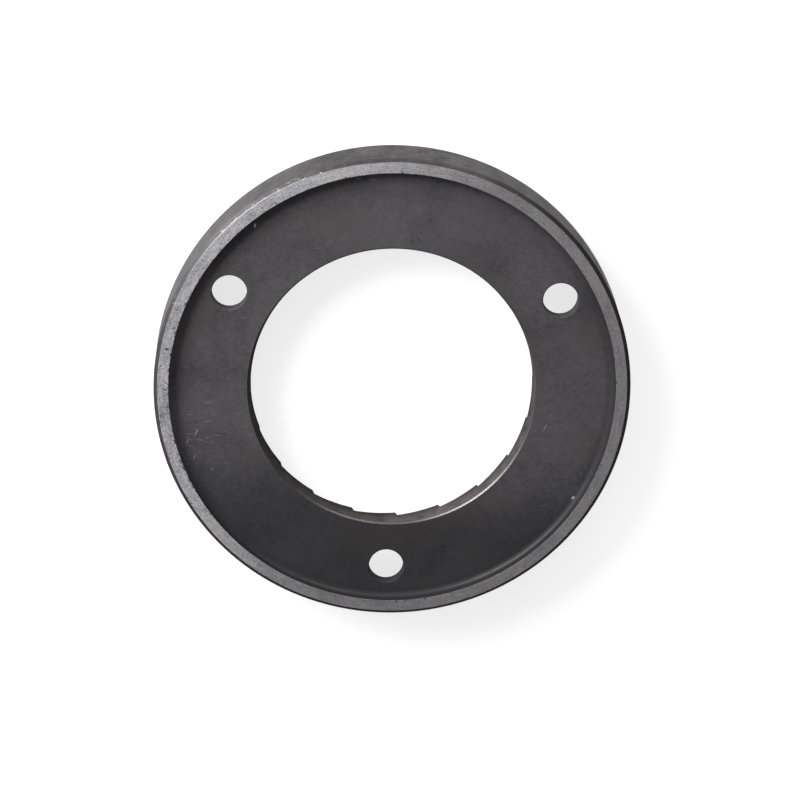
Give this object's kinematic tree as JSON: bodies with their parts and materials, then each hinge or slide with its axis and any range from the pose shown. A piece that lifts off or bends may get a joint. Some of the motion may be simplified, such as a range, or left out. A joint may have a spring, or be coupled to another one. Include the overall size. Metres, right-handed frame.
{
  "type": "coffee grinder burr",
  "caption": "Flat ring burr of a coffee grinder: fine teeth and long breakers on one face, a seating rim, shallow recess and countersunk screw holes on the other.",
  "frame": {"origin": "on the ring's axis, in the plane of the tooth lands that it rests on", "axes": "+Z along the axis towards the back with the seating rim; one screw hole lies on +Y"},
  "size_m": [0.098, 0.098, 0.0117],
  "materials": {
    "burr": "dark hardened tool steel, cast back, worn bare on the seating rim"
  },
  "bodies": {
    "root": {"burr": "burr"}
  },
  "joints": []
}
